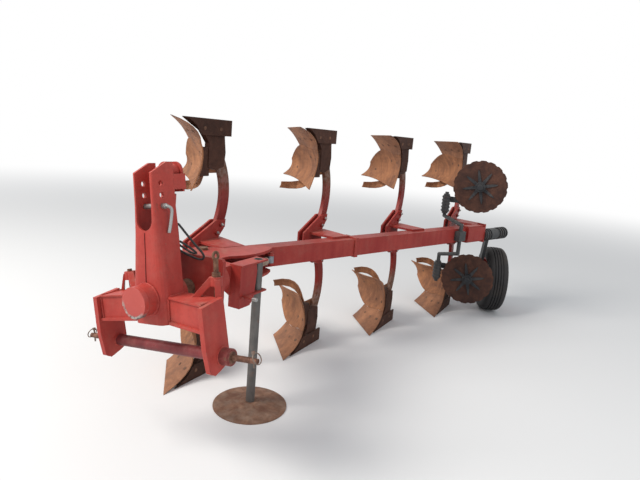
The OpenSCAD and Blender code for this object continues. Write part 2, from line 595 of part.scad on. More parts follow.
module disc(c) color("saddlebrown") plough() at_coulter() translate([arm_len, 0, c[2]]) difference() {
    union() {
        translate([0, disc_y, 0]) rotate([90, 0, 0]) linear_extrude(5, center = true) difference() {
            circle(d = disc_d, $fn = 96);
            for (k = [0:17]) rotate(20 * k) translate([disc_d / 2 + 22, 0]) circle(r = 30, $fn = 24);
        }
        translate([0, 0, 0]) bar_y(disc_y - 38, disc_y + 40, 96);
        translate([0, disc_y - 2.5, 0]) rotate([90, 0, 0]) for (k = [0:7]) rotate(45 * k + 12) linear_extrude(9)
            polygon([[30, -17], [130, -11], [160, -4], [160, 4], [130, 11], [30, 17]]);
        translate([0, disc_y - 60, 0]) bar_y(0, 24, 54);
    }
    bar_y(disc_y - 31, disc_y + 50, 40 + running);
}
module coulter_arm_lower() coulter_arm(low_c);
module coulter_arm_upper() coulter_arm(up_c);
module disc_lower() disc(low_c);
module disc_upper() disc(up_c);

// Depth wheel: its pivot runs along the beam behind the end block
pivot_axis = [133, -25];
sleeve = [-3510, -3390];
journal_d = 70;
module end_block() color("firebrick") plough() on_beam() {
    translate([beam_rear, -8, -plate_z + fit]) cube([300, 172, beam_h - 2 * fit]);
    translate([beam_rear + 18, 78, -78]) cube([282, 76, 156]);
    translate([beam_rear, 78, -90]) cube([18, 86, 180]);
}
module wheel_pivot() color("darkslategray") plough() on_beam() translate([0, pivot_axis[0], pivot_axis[1]]) {
    bar_x(-3290, sleeve[1] + 1, 104);
    bar_x(-3290, sleeve[0] - 5, journal_d);
    bar_x(sleeve[0] - 1, -3700, 104);
    for (x = [-3310, -3350, -3560, -3600, -3640, -3680]) bar_x(x, x - 14, 122);
}
module at_wheel() translate(wheel_at) rotate([0, 0, wheel_turn]) children();
hub_d = 45;
arm_top = mid_z + pivot_axis[1] - wheel_at[2] - 60;
module wheel_arm() color("dimgray") plough() difference() {
    union() {
        on_beam() translate([0, pivot_axis[0], pivot_axis[1]]) bar_x(sleeve[0], sleeve[1], 120);
        at_wheel() {
            side_plate([[-46, 0], [-22, -46], [22, -46], [46, 0], [196, arm_top], [196, arm_top + 22],
                [108, arm_top + 22], [106, arm_top]], -160, 30);
            bar_y(-160, 70, hub_d);
        }
    }
    on_beam() translate([0, pivot_axis[0], pivot_axis[1]]) bar_x(sleeve[0] - 5, sleeve[1] + 5, journal_d + running);
}
rim_r = tyre_r - 122;
// Rim edge: [radius, half width] from the inside of the rim over its flange to the bead seat
rim_w = tyre_hw * 0.8 + 0.6;
rim_edge = [[rim_r - 8, rim_w + 4], [rim_r + 10, rim_w + 12], [rim_r + 10, rim_w + tyre_hw * 0.067 + 0.4], [rim_r, rim_w]];
module wheel_rim() color("firebrick") plough() at_wheel() rotate([90, 0, 0]) difference() {
    union() {
        rotate_extrude($fn = 96) polygon([for (s = [-1, 1]) for (p = s < 0 ? rim_edge : [rim_edge[3], rim_edge[2],
            rim_edge[1], rim_edge[0]]) [p[0], s * p[1]]]);
        cylinder(r = rim_r - 4, h = 8, center = true, $fn = 96);
        cylinder(d = 110, h = 160, center = true, $fn = 64);
    }
    cylinder(d = hub_d + running, h = 200, center = true, $fn = 64);
}
module wheel_tyre() color("black") plough() at_wheel() rotate([90, 0, 0]) rotate_extrude($fn = 96) polygon(concat(
    [for (p = tyre_profile) p], [[rim_r + fit, tyre_hw * 0.74], [rim_r + fit, -tyre_hw * 0.74]],
    [for (i = [5:-1:0]) [tyre_profile[i][0], -tyre_profile[i][1]]]));

module stand_tube() color("silver") plough() translate([stand_at[0], stand_at[1], 30]) difference() {
    cylinder(d = stand_d, h = mid_z + 46, $fn = 72);
    translate([0, 0, 20]) cylinder(d = stand_d - 10, h = 1000, $fn = 72);
}
module stand_foot() color("sienna") plough() translate([stand_at[0], stand_at[1], 0]) rotate_extrude($fn = 96)
    polygon([[0, 16], [60, 15], [foot_d / 2 - 30, 0], [foot_d / 2, 0], [foot_d / 2, 6], [foot_d / 2 - 30, 10],
        [70, 26], [55, 30], [0, 30]]);

cross_beam();
end_plates();
tower();
bearing_housing();
housing_cap();
cross_shaft();
link_pins();
linch_pin_left();
linch_pin_right();
top_link_pin();
spindle_brackets();
tilt_spindles();
cylinder_bracket();
hoses();
cylinder_barrel();
cylinder_rod();
turning_shaft();
turning_head();
turnover_crank();
pivot_plates();
pivot_pin();
stand_bracket();
turnbuckle();
front_beam();
rear_beam();
leg_brackets();
shanks_lower();
shanks_upper();
frogs_lower();
frogs_upper();
landsides_lower();
landsides_upper();
shares_lower();
shares_upper();
mouldboards_lower();
mouldboards_upper();
trash_boards_lower();
trash_boards_upper();
coulter_holder();
coulter_arm_lower();
coulter_arm_upper();
disc_lower();
disc_upper();
end_block();
wheel_pivot();
wheel_arm();
wheel_rim();
wheel_tyre();
stand_tube();
stand_foot();
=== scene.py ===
import math

import bmesh
import bpy
from bpy.props import FloatProperty, FloatVectorProperty, IntProperty, PointerProperty
from mathutils import Matrix, Vector


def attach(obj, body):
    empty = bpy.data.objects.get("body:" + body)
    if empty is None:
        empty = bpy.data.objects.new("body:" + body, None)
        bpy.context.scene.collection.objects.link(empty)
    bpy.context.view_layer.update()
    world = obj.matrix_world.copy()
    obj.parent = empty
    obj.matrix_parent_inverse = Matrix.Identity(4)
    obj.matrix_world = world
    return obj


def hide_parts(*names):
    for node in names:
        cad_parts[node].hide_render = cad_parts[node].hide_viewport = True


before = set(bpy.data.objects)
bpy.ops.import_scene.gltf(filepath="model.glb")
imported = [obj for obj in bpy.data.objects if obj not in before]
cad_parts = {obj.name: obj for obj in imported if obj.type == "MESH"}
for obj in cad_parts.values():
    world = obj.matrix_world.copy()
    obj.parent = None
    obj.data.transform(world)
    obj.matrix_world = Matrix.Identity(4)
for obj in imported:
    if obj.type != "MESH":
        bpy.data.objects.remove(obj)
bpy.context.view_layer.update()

bl_info = {
    "name": "Reversible plough",
    "version": (1, 0, 0),
    "blender": (4, 5, 0),
    "location": "3D View > Sidebar > Plough",
    "description": "Dresses a reversible plough with paint, rust, bolts, welds and tyre tread",
    "category": "Add Mesh",
}

# Places are written from the tip of the lower front body; this shift leads to the model's frame
SHIFT = Vector((1.5698, -0.49289, 0.0))
# Height of the turnover axis and the beam, and of the upper bodies' tips
MID_Z = 0.86
TIP_H = 1.72
# Bodies in a row, their distance along the beam and the furrow that each one cuts
BODIES = 4
PITCH = 0.95
FURROW = 0.305
BEAM_ANGLE = math.asin(FURROW / PITCH)
# The turnover axis in plan, and the roll that the headstock is parked with
AXIS_Y = 0.426
HEAD_ROLL = math.radians(8.9)
# Each half of the cross beam leaves the tower here and drops outwards by this angle
WING_A = 0.108
WING_TOP = 0.010
WING_DROP = math.radians(3.5)
# The lower link pins, forward and up from the turnover axis
LINK_PIN = (0.441, -0.257)
# The bearing cap's face, forward
CAP_FRONT = 0.609
# The bead round the bearing housing: forward, and its radius
HOUSING_WELD = (0.531, 0.0755)
# Straight beads of a wing: from, to, share of the weld's size and start of the ripple
WING_WELDS = (
    ((0.500, 0.001, -0.112), (0.500, 0.001, -0.010), 1.0, 0),
    ((0.402, 0.001, 0.001), (0.494, 0.001, 0.001), 1.0, 2),
    ((0.394, 0.2195, 0.001), (0.524, 0.2195, 0.001), 0.8, 3),
    ((0.529, 0.2195, -0.112), (0.529, 0.2195, -0.010), 0.8, 1),
)
# Beads round the link pins' collars: outwards, radius and share of the weld's size
PIN_WELDS = ((0.3575, 0.041, 0.8), (0.3290, 0.030, 0.7))
# The seam up the tower's front: forward, lean, first height, step between points and their number
SEAM_X, SEAM_LEAN = 0.5305, 0.023 / 0.3
SEAM_FOOT, SEAM_STEP, SEAM_POINTS = 0.078, 0.01, 24
SEAM_RADIUS = 0.0022
# Where each hose comes in to the cylinder's barrel, and its end there, from the turnover axis
HOSE_ENDS = (
    ((0.306, -0.005, 0.205), (0.312, -0.0406, 0.215)),
    ((0.310, -0.006, 0.240), (0.312, -0.0342, 0.245)),
)
# The pin through the stand's bracket, where it comes out, and its radius
STAND_PIN = (-0.080, 0.590, MID_Z - 0.108)
STAND_PIN_R = 0.0114
# Bolts of a shank, from the body's tip and above or below the beam, and the nuts' outer face
SHANK_BOLTS = ((-0.488, 0.118), (-0.530, 0.170))
NUT_FACE_Y = -0.023
# Plough bolts of the board and the share, to the left and up from a body's tip
FACE_BOLTS = {
    "mouldboards": ((-0.045, 0.225), (-0.050, 0.345), (-0.125, 0.215), (-0.330, 0.315)),
    "shares": ((-0.040, 0.085), (-0.120, 0.080), (-0.200, 0.085)),
}
# Plough bolts of the landside, forward and up from a body's tip
LANDSIDE_BOLTS = ((-0.30, 0.062), (-0.45, 0.062))
# The turnbuckle's pin on the beam, along and across it
BUCKLE_END = (-0.640, 0.175)
# The disc coulters' middle in plan, their heights, and the axis that their star hubs face along
DISC_AT = (-2.9051, 1.1353)
DISC_LOW, DISC_HIGH = 0.403, 1.317
DISC_TURN = math.radians(102)
DISC_AXIS = (math.sin(DISC_TURN), -math.cos(DISC_TURN), 0)
# The depth wheel's middle, how far it is turned to the left, and its tyre's radius and half width
WHEEL_AT = (-3.42, 1.27, 0.335)
WHEEL_TURN = math.radians(25)
TYRE_R = 0.335
TYRE_HALF = 0.100
# The tyre's side from bead to shoulder, as depth below the tread and share of the half width
BEAD_DEPTH = 0.1217
TYRE_SIDE = ((BEAD_DEPTH, 0.80), (0.104, 0.92), (0.083, 0.975), (0.080, 0.99), (0.076, 0.985),
             (0.062, 1.0), (0.044, 0.975), (0.026, 0.94), (0.014, 0.84), (0.006, 0.72))
# Shares of the half width that carry ribs and sit on the rim
TREAD_SHARE, SEAT_SHARE = 0.66, 0.74
# The grooves between the ribs, and how far the tread falls off towards the shoulders
GROOVE_WIDTH, GROOVE_DEPTH = 0.0075, 0.013
CROWN_DROP, CROWN_SHARE = 0.006, 0.7
TYRE_STEPS = 120
# Wheel nuts: number, radius of their circle, first angle, width and distance from the middle plane
NUTS, NUT_CIRCLE, NUT_START = 6, 0.082, 14
NUT_WIDTH, NUT_Y = 0.026, 0.004
# The nut on the axle: distance from the middle plane, radius and height
AXLE_NUT_Y, AXLE_NUT_R, AXLE_NUT_H = 0.0695, 0.019, 0.010
# The camera's place and angles, and its focal length in pixels of a picture 640 wide
CAMERA_AT = (2.176, 2.207, 1.674)
HEADING, TILT, ROLL = math.radians(208.5), math.radians(-11.40), math.radians(4.85)
FOCAL_PIXELS, PICTURE_WIDTH, SENSOR = 518, 640, 36.0
# Lamps: name, place, aim, size, power and colour
LAMPS = (
    ("key", (6.5, -4.5, 7.5), (0.3, 0.0, 0.7), 4.0, 900, (1.0, 0.97, 0.92)),
    ("fill", (3.0, 8.0, 5.0), (0.0, 0.0, 0.8), 6.0, 140, (0.93, 0.97, 1.0)),
)
SKY = (0.93, 0.96, 1.0)
SKY_STRENGTH = 0.55
FLOOR_SIZE = 60
# The floor goes over into the white backdrop between these distances
WHITE_FROM, WHITE_TO = 4.5, 16.0

FORWARD = Vector((1, 0, 0))
LEFT = Vector((0, 1, 0))
UP = Vector((0, 0, 1))


def plough(x, y, z):
    """A point from the lower front body's tip, in the model's frame."""
    return Vector((x, y, z)) + SHIFT


def on_head(x, a, b):
    """A point of the rolled headstock: x forward, a to the left and b up from the turnover axis."""
    c, s = math.cos(HEAD_ROLL), math.sin(HEAD_ROLL)
    return plough(x, AXIS_Y + a * c - b * s, MID_Z + a * s + b * c)


def on_wing(x, y, z, side):
    """A point of one half of the cross beam: y outwards from the tower, z from its top."""
    c, s = math.cos(WING_DROP), math.sin(WING_DROP)
    return on_head(x, side * (WING_A + y * c + z * s), WING_TOP - y * s + z * c)


def on_beam(x, y, z):
    """A point along the slanted beam: x forward, y to its near side, z from the mid-plane."""
    c, s = math.cos(BEAM_ANGLE), math.sin(BEAM_ANGLE)
    return plough(x * c + y * s, y * c - x * s, MID_Z + z)


def at_body(i, x, y, z, upper=False):
    """A point of plough body i, counted from the front, measured from its tip."""
    c, s = math.cos(BEAM_ANGLE), math.sin(BEAM_ANGLE)
    return plough(x - c * PITCH * i, y + s * PITCH * i, TIP_H - z if upper else z)


def at_wheel(x, y, z):
    """A point of the depth wheel: y along its axle, outwards."""
    c, s = math.cos(WHEEL_TURN), math.sin(WHEEL_TURN)
    return plough(WHEEL_AT[0] + x * c - y * s, WHEEL_AT[1] + x * s + y * c, WHEEL_AT[2] + z)


LINK_AXIS = (on_head(0, 1, 0) - on_head(0, 0, 0)).normalized()
AXLE = at_wheel(0, 1, 0) - at_wheel(0, 0, 0)


class PloughLooks(bpy.types.PropertyGroup):
    """Colours and wear of the plough."""
    paint: FloatVectorProperty(
        name="Paint", description="Enamel where the sun has faded it",
        subtype="COLOR", size=3, min=0, max=1, default=(0.475, 0.064, 0.048))
    paint_deep: FloatVectorProperty(
        name="Deep paint", description="Enamel that kept its colour",
        subtype="COLOR", size=3, min=0, max=1, default=(0.27, 0.018, 0.016))
    rust: FloatVectorProperty(
        name="Orange rust", description="Fresh rust on scoured faces",
        subtype="COLOR", size=3, min=0, max=1, default=(0.42, 0.185, 0.085))
    rust_dark: FloatVectorProperty(
        name="Dark rust", description="Old rust on frogs and landsides",
        subtype="COLOR", size=3, min=0, max=1, default=(0.048, 0.018, 0.011))
    wear: FloatProperty(
        name="Paint wear", description="How much of the enamel is chipped off",
        subtype="FACTOR", min=0, max=1, default=0.5)


class PloughParts(bpy.types.PropertyGroup):
    """Sizes of the small parts."""
    stud: FloatProperty(
        name="Stud", description="Diameter of the studs that hold a shank in its bracket",
        unit="LENGTH", min=0.012, max=0.02, default=0.017)
    plough_bolt: FloatProperty(
        name="Plough bolt", description="Across a countersunk plough bolt's head",
        unit="LENGTH", min=0.018, max=0.035, default=0.026)
    weld_leg: FloatProperty(
        name="Weld", description="Radius of a fillet weld",
        unit="LENGTH", min=0.003, max=0.01, default=0.006)
    tread_ribs: IntProperty(
        name="Tread ribs", description="Ribs round the depth wheel's tyre",
        min=3, max=7, default=5)


class Value:
    """A shader socket; arithmetic on it adds Math nodes."""

    def __init__(self, looks, socket):
        self.looks = looks
        self.socket = socket

    def math(self, operation, *others):
        inputs = {0: self}
        inputs.update({i + 1: other for i, other in enumerate(others)})
        return self.looks.node("ShaderNodeMath", {"operation": operation}, inputs)

    def __add__(self, other):
        return self.math("ADD", other)

    def __sub__(self, other):
        return self.math("SUBTRACT", other)

    def __rsub__(self, other):
        return self.looks.node("ShaderNodeMath", {"operation": "SUBTRACT"}, {0: other, 1: self})

    def __mul__(self, other):
        return self.math("MULTIPLY", other)

    __radd__ = __add__
    __rmul__ = __mul__

    def clamp(self):
        return self.looks.node("ShaderNodeClamp", {}, {"Value": self})

    def abs(self):
        return self.math("ABSOLUTE")

    def ramp(self, low, high):
        """0 below low and 1 above high, smooth between."""
        return self.looks.node("ShaderNodeMapRange", {"interpolation_type": "SMOOTHSTEP"},
                               {"Value": self, "From Min": low, "From Max": high})


class Looks:
    """One material, or the world, and its nodes."""

    def __init__(self, name, world=False):
        self.material = (bpy.data.worlds if world else bpy.data.materials).new(name)
        self.material.use_nodes = True
        self.tree = self.material.node_tree
        self.tree.nodes.clear()
        self.place = self.node("ShaderNodeTexCoord", {}, {}, "Object")

    def feed(self, socket, value):
        """Links a value to a socket, or sets the socket to a number or a colour."""
        if isinstance(value, Value):
            self.tree.links.new(value.socket, socket)
        elif socket.type == "RGBA" and len(value) == 3:
            socket.default_value = (*value, 1.0)
        else:
            socket.default_value = value

    def node(self, kind, settings, inputs, output=0):
        """Adds a node: its settings first, then the values or links of its sockets."""
        node = self.tree.nodes.new(kind)
        for key, value in settings.items():
            setattr(node, key, value)
        for key, value in inputs.items():
            self.feed(node.inputs[key], value)
        return Value(self, node.outputs[output])

    def mix(self, factor, a, b):
        """Goes from colour a to colour b as factor goes from 0 to 1."""
        node = self.tree.nodes.new("ShaderNodeMix")
        node.data_type = "RGBA"
        for socket, value in zip([s for s in node.inputs if s.enabled], (factor, a, b)):
            self.feed(socket, value)
        return Value(self, next(s for s in node.outputs if s.enabled))

    def vector(self, operation, *values, output="Vector"):
        inputs = dict(enumerate(values))
        return self.node("ShaderNodeVectorMath", {"operation": operation}, inputs, output)

    def stretched(self, scale, shift=(0, 0, 0)):
        """Object coordinates stretched, so that a pattern runs along one way."""
        inputs = {"Vector": self.place, "Scale": scale, "Location": shift}
        return self.node("ShaderNodeMapping", {}, inputs)

    def noise(self, scale, detail, roughness, place=None, distortion=0.0):
        return self.node("ShaderNodeTexNoise", {}, {
            "Vector": place or self.place, "Scale": scale, "Detail": detail,
            "Roughness": roughness, "Distortion": distortion})

    def cells(self, scale):
        """Distance to the nearest of many scattered points."""
        inputs = {"Vector": self.place, "Scale": scale}
        return self.node("ShaderNodeTexVoronoi", {"feature": "F1"}, inputs, "Distance")

    def part(self, axis, place=None):
        """One coordinate of a place."""
        return self.node("ShaderNodeSeparateXYZ", {}, {0: place or self.place}, axis)

    def facing_up(self):
        """How far the surface looks up, in the piece's own frame."""
        return self.part("Z", self.node("ShaderNodeTexCoord", {}, {}, "Normal"))

    def edges(self, radius):
        """Edge mask: how far a rounded normal leans away from the flat one."""
        soft = self.node("ShaderNodeBevel", {"samples": 6}, {"Radius": radius})
        flat = self.node("ShaderNodeNewGeometry", {}, {}, "Normal")
        return 1.0 - self.vector("DOT_PRODUCT", soft, flat, output="Value")

    def backdrop_rays(self):
        """1 for the rays that show the backdrop: the camera's, and those off metal or through glass."""
        camera, glossy, through = [self.node("ShaderNodeLightPath", {}, {}, f"Is {kind} Ray")
                                   for kind in ("Camera", "Glossy", "Transmission")]
        return (camera + glossy + through).clamp()

    def bump(self, height, distance, strength=1.0, radius=None):
        """A Normal from a height; with a radius, edges are rounded off too."""
        inputs = {"Height": height, "Distance": distance, "Strength": strength}
        if radius:
            inputs["Normal"] = self.node("ShaderNodeBevel", {"samples": 6}, {"Radius": radius})
        return self.node("ShaderNodeBump", {}, inputs)

    def done(self, **sockets):
        """Ends the material with a Principled shader; names use _ for a space."""
        inputs = {key.replace("_", " "): value for key, value in sockets.items()}
        return self.finish(self.node("ShaderNodeBsdfPrincipled", {}, inputs))

    def finish(self, shader):
        """Leads a shader to the output."""
        out = self.tree.nodes.new("ShaderNodeOutput" + self.material.bl_rna.identifier)
        self.tree.links.new(shader.socket, out.inputs["Surface"])
        return self.material


RUST_MID = (0.19, 0.075, 0.038)
DUST = (0.36, 0.30, 0.24)


def darker(colour, share):
    return [c * share for c in colour]


def between(a, b, share):
    """A colour that is share of b and the rest of a."""
    return [x * (1 - share) + y * share for x, y in zip(a, b)]


def enamel(name, faded, deep, chips=0.5, dusty=0.35, toward_soil=False):
    """Old red enamel: faded in patches, chipped at the edges, rusty in the chips, dusty on top."""
    m = Looks(name)
    patches = m.noise(2.6, 5, 0.6)
    runs = m.noise(1.0, 3, 0.5, m.stretched((22, 22, 2.2)))
    fade = (patches * 0.75 + runs * 0.45 + m.facing_up() * 0.10).ramp(0.36, 0.86)
    colour = m.mix(fade, deep, faded)
    mottle = m.noise(55, 3, 0.6)
    colour = m.mix(mottle.ramp(0.46, 0.74) * 0.22, colour, darker(deep, 0.55))
    dust = m.noise(9, 6, 0.65)
    settled = (m.facing_up().ramp(0.25, 0.95) * 0.7 + 0.3) * dust.ramp(0.45, 0.8)
    colour = m.mix(settled * dusty, colour, DUST)
    speck = m.noise(70, 4, 0.7)
    where = m.noise(5.5, 4, 0.6)
    edge = m.edges(0.009).ramp(0.02, 0.22)
    chipped = (speck.ramp(0.60, 0.66) * where.ramp(0.50, 0.66)
               + edge * m.noise(30, 4, 0.7).ramp(0.50, 0.60)).clamp() * chips * 1.5
    if toward_soil:
        height = (m.part("Z") - MID_Z).abs()
        worn = (height + m.noise(7, 4, 0.6) * 0.30 - 0.15).ramp(0.30, 0.52)
        chipped = chipped + worn
    chipped = chipped.clamp()
    under = m.mix(m.noise(34, 5, 0.65).ramp(0.35, 0.65), darker(RUST_MID, 0.75), (0.24, 0.17, 0.14))
    colour = m.mix(chipped, colour, under)
    rough = 0.42 + dust.ramp(0.3, 0.8) * 0.22 + chipped * 0.25
    height = m.noise(240, 3, 0.6) * 0.15 - chipped * 0.9 + m.noise(14, 3, 0.5) * 0.6
    return m.done(Base_Color=colour, Roughness=rough, Metallic=chipped * 0.25,
                  Specular_IOR_Level=0.24, Normal=m.bump(height, 0.0011, 0.7, 0.0035))


def cap_enamel(name, faded, deep):
    """The bearing cap's enamel: chipped to metal round the lower part of its rim, with painted shade
    beyond the rim on its lower left side.
    """
    m = Looks(name)
    off = m.vector("SUBTRACT", m.place, on_head(CAP_FRONT, 0, 0))
    y, z = m.part("Y", off), m.part("Z", off)
    radius = (y * y + z * z).math("SQRT")
    low = (z * -1.0 + y * -0.25).ramp(0.008, 0.052)
    rim = (radius + m.noise(38, 5, 0.7) * 0.030).ramp(0.0745, 0.0790)
    chip = (rim * low * m.noise(16, 4, 0.6).ramp(0.40, 0.50)).clamp()
    # Painted shade: outside the rim, the lower part towards the left is darkened almost to black,
    # standing in for the shade under the cap
    outer = (radius + m.noise(20, 4, 0.7) * 0.03).ramp(0.080, 0.094)
    painted_shade = outer * low * y.ramp(-0.01, 0.05)
    colour = m.mix(m.noise(3, 4, 0.6).ramp(0.3, 0.7), deep, faded)
    colour = m.mix(m.noise(60, 4, 0.65).ramp(0.60, 0.72) * 0.25, colour, (0.60, 0.30, 0.24))
    metal = m.mix(m.noise(60, 4, 0.6).ramp(0.4, 0.6), (0.10, 0.09, 0.085), (0.40, 0.37, 0.34))
    colour = m.mix(chip, colour, metal)
    colour = m.mix(painted_shade.clamp() * 0.8, colour, (0.03, 0.022, 0.018))
    return m.done(Base_Color=colour, Roughness=0.45 + chip * 0.1, Metallic=chip * 0.6,
                  Normal=m.bump(m.noise(14, 3, 0.5) * 0.6 - chip, 0.0009, 0.7, 0.004))


def scoured(name, light, dark, streak=1.0):
    """Scoured steel gone over with thin rust: streaks that run down it, darker blotches and pits."""
    m = Looks(name)
    streaks = m.noise(1.0, 5, 0.62, m.stretched((34, 34, 3.0)))
    fine = m.noise(1.0, 4, 0.7, m.stretched((130, 130, 9.0), (3, 1, 2)))
    patches = m.noise(5.0, 6, 0.62, None, 0.4)
    pits = m.noise(150, 4, 0.75)
    tone = (patches * 0.7 + streaks * 0.42 * streak + fine * 0.16).ramp(0.42, 0.88)
    colour = m.mix(tone, dark, light)
    broad = m.noise(3.2, 3, 0.5, m.stretched((1, 1, 1), (7, 2, 4)))
    pale = streaks.ramp(0.58, 0.78) * broad.ramp(0.42, 0.7)
    colour = m.mix(pale * 0.40 * streak, colour, [min(1, c * 1.5 + 0.03) for c in light])
    colour = m.mix(pits.ramp(0.56, 0.70) * 0.45, colour, darker(dark, 0.5))
    rough = 0.52 + patches * 0.26 + pits * 0.12
    height = pits * 0.5 + patches * 0.6 + streaks * 0.3
    return m.done(Base_Color=colour, Roughness=rough, Metallic=0.28, Specular_IOR_Level=0.4,
                  Normal=m.bump(height, 0.0009, 0.7, 0.003))


def corroded(name, dark, light, scale=1.0, metallic=0.25):
    """Old brown rust with lighter scabs and grain."""
    m = Looks(name)
    scabs = m.noise(16 * scale, 6, 0.7, None, 0.5)
    grain = m.noise(190 * scale, 3, 0.7)
    broad = m.noise(3.5 * scale, 4, 0.6)
    colour = m.mix((scabs * 0.7 + broad * 0.5 + grain * 0.15).ramp(0.50, 0.92), dark, light)
    settled = m.facing_up().ramp(0.3, 0.95) * m.noise(12, 5, 0.6).ramp(0.40, 0.75)
    colour = m.mix(settled * 0.35, colour, DUST)
    return m.done(Base_Color=colour, Roughness=0.66 + grain * 0.2, Metallic=metallic,
                  Specular_IOR_Level=0.35,
                  Normal=m.bump(scabs * 0.9 + grain * 0.4, 0.0012, 0.8, 0.003))


def disc_rust(name, height):
    """A disc coulter's rust; its star hub, which stands proud of the face, is blue-grey."""
    m = Looks(name)
    off = m.vector("SUBTRACT", m.place, plough(*DISC_AT, height))
    proud = m.vector("DOT_PRODUCT", off, DISC_AXIS, output="Value")
    scabs = m.noise(16, 6, 0.7, None, 0.5)
    grain = m.noise(190, 3, 0.7)
    tone = (scabs * 0.7 + m.noise(3.5, 4, 0.6) * 0.5 + grain * 0.15).ramp(0.50, 0.92)
    face = m.mix(tone, (0.040, 0.018, 0.014), (0.115, 0.048, 0.030))
    star = m.mix(tone, (0.026, 0.028, 0.032), (0.080, 0.076, 0.076))
    colour = m.mix(proud.ramp(0.0026, 0.0032), face, star)
    return m.done(Base_Color=colour, Roughness=0.66 + grain * 0.2, Metallic=0.25,
                  Specular_IOR_Level=0.35,
                  Normal=m.bump(scabs * 0.9 + grain * 0.4, 0.0012, 0.8, 0.003))


def link_pin_rust(name):
    """The lower link pins: bare and rusty, with old enamel left on their collars."""
    m = Looks(name)
    off = m.vector("SUBTRACT", m.place, on_head(LINK_PIN[0], 0, LINK_PIN[1]))
    radius = m.vector("LENGTH", m.vector("CROSS_PRODUCT", off, LINK_AXIS), output="Value")
    scabs = m.noise(30, 6, 0.7, None, 0.5)
    grain = m.noise(260, 3, 0.7)
    tone = (scabs * 0.8 + grain * 0.3).ramp(0.42, 0.80)
    rust = m.mix(tone, (0.085, 0.036, 0.024), (0.30, 0.15, 0.10))
    paint = m.mix(scabs.ramp(0.35, 0.7), (0.17, 0.030, 0.028), (0.33, 0.085, 0.075))
    painted = radius.ramp(0.026, 0.030) * (1.0 - scabs.ramp(0.56, 0.62))
    return m.done(Base_Color=m.mix(painted, rust, paint), Roughness=0.55 + grain * 0.2,
                  Metallic=0.3 - painted * 0.3, Specular_IOR_Level=0.35,
                  Normal=m.bump(scabs * 0.9 + grain * 0.4, 0.0012, 0.8, 0.003))


def buckle_paint(name):
    """The turnbuckle: sun-bleached tan paint, worn to grey steel at its beam end and on its flats."""
    m = Looks(name)
    off = m.vector("SUBTRACT", m.place, on_beam(*BUCKLE_END, 0))
    reach = m.vector("LENGTH", off, output="Value")
    cloud = m.noise(18, 5, 0.6)
    at_end = 1.0 - (reach + cloud * 0.02).ramp(0.055, 0.068)
    bare = (at_end + m.noise(60, 4, 0.7).ramp(0.58, 0.66) * 0.6).clamp()
    colour = m.mix(cloud.ramp(0.3, 0.75), (0.22, 0.15, 0.105), (0.40, 0.32, 0.24))
    steel = m.mix(cloud.ramp(0.4, 0.7), (0.17, 0.185, 0.21), (0.30, 0.32, 0.35))
    colour = m.mix(bare, colour, steel)
    height = cloud + m.noise(120, 3, 0.6) * 0.4 - bare * 0.5
    return m.done(Base_Color=colour, Roughness=0.45 + cloud * 0.2, Metallic=bare * 0.5,
                  Normal=m.bump(height, 0.0008, 0.6, 0.003))


def zinc(name, tone=(0.42, 0.42, 0.41), rust=0.3):
    """Zinc-plated steel, dulled, with rust coming through."""
    m = Looks(name)
    spangle = m.cells(70)
    cloud = m.noise(14, 5, 0.6)
    colour = m.mix(cloud.ramp(0.3, 0.75), darker(tone, 0.72), tone)
    bloom = m.noise(26, 5, 0.7).ramp(0.54, 0.70) * m.noise(5, 3, 0.5).ramp(0.35, 0.65)
    colour = m.mix(bloom * rust * 2.2, colour, RUST_MID)
    rough = 0.36 + cloud * 0.25 + bloom * 0.2
    return m.done(Base_Color=colour, Roughness=rough, Metallic=0.75 - bloom * 0.5,
                  Normal=m.bump(spangle * 0.5 + cloud, 0.0006, 0.5, 0.002))


def black_paint(name):
    """Black enamel greyed by dust, with brown showing on its edges."""
    m = Looks(name)
    cloud = m.noise(10, 5, 0.6)
    colour = m.mix(cloud.ramp(0.35, 0.8) * 0.5, (0.028, 0.031, 0.034), (0.075, 0.07, 0.066))
    edge = m.edges(0.006).ramp(0.03, 0.25) * m.noise(40, 4, 0.7).ramp(0.46, 0.58)
    colour = m.mix(edge.clamp() * 0.8, colour, (0.13, 0.06, 0.035))
    settled = m.facing_up().ramp(0.2, 0.9) * m.noise(15, 5, 0.6).ramp(0.4, 0.75)
    colour = m.mix(settled * 0.4, colour, (0.20, 0.17, 0.14))
    height = cloud + m.noise(160, 3, 0.6) * 0.3
    return m.done(Base_Color=colour, Roughness=0.40 + cloud * 0.25, Specular_IOR_Level=0.45,
                  Normal=m.bump(height, 0.0009, 0.6, 0.003))


def chrome(name):
    """The cylinder rod's chrome under a film of dust, with fine turning marks."""
    m = Looks(name)
    film = m.noise(30, 5, 0.6)
    colour = m.mix(film.ramp(0.45, 0.8) * 0.4, (0.62, 0.62, 0.63), (0.30, 0.27, 0.24))
    return m.done(Base_Color=colour, Roughness=0.12 + film * 0.25, Metallic=1.0,
                  Normal=m.bump(m.noise(1, 2, 0.5, m.stretched((30, 30, 900))), 0.0002, 0.4))


def hose_rubber(name):
    """A dusty hose with a fine grain."""
    m = Looks(name)
    dust = m.noise(40, 4, 0.6)
    colour = m.mix(dust.ramp(0.5, 0.8) * 0.5, (0.012, 0.012, 0.013), (0.07, 0.06, 0.055))
    return m.done(Base_Color=colour, Roughness=0.45 + dust * 0.3,
                  Normal=m.bump(m.cells(420), 0.0005, 0.6))


def tyre_rubber(name):
    """Black rubber, browned by dust."""
    m = Looks(name)
    dust = m.noise(7, 6, 0.65)
    fine = m.noise(120, 3, 0.6)
    settled = (dust.ramp(0.42, 0.8) * 0.65 + m.facing_up().ramp(0.4, 1.0) * 0.2).clamp()
    colour = m.mix(settled, (0.012, 0.011, 0.012), (0.055, 0.044, 0.037))
    return m.done(Base_Color=colour, Roughness=0.62 + dust * 0.25,
                  Normal=m.bump(fine * 0.5 + dust, 0.0008, 0.6))


FINISH = {}


